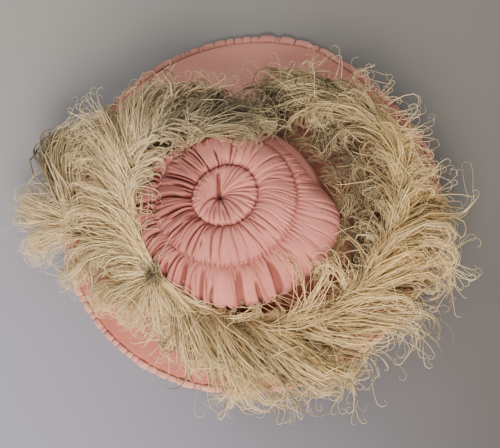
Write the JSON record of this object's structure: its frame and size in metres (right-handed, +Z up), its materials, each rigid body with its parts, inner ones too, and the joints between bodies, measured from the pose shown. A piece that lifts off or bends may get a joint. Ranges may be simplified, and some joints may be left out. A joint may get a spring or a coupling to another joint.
{
  "type": "plumed picture hat",
  "caption": "Wide-brimmed picture hat: soft gathered crown with a pinched middle, dished brim with a frilled rim, and two long curling plumes laid round the crown.",
  "frame": {"origin": "middle of the bounding box, on the surface that the rim rests on", "axes": "+Z up, +Y towards the lifted front of the brim, +X to the right seen from the back; the crown sits towards -Y"},
  "size_m": [0.4975, 0.4442, 0.107],
  "materials": {
    "silk": "smooth dusty pink silk with a faint sheen, laid over stiff net",
    "chiffon": "matt salmon pink silk chiffon in close gathers",
    "feather": "straw and cream ostrich feather with fine curled barbs"
  },
  "bodies": {
    "root": {"brim": "silk", "brim_frill": "chiffon", "crown": "chiffon", "long_plume": "feather", "short_plume": "feather"}
  },
  "joints": []
}
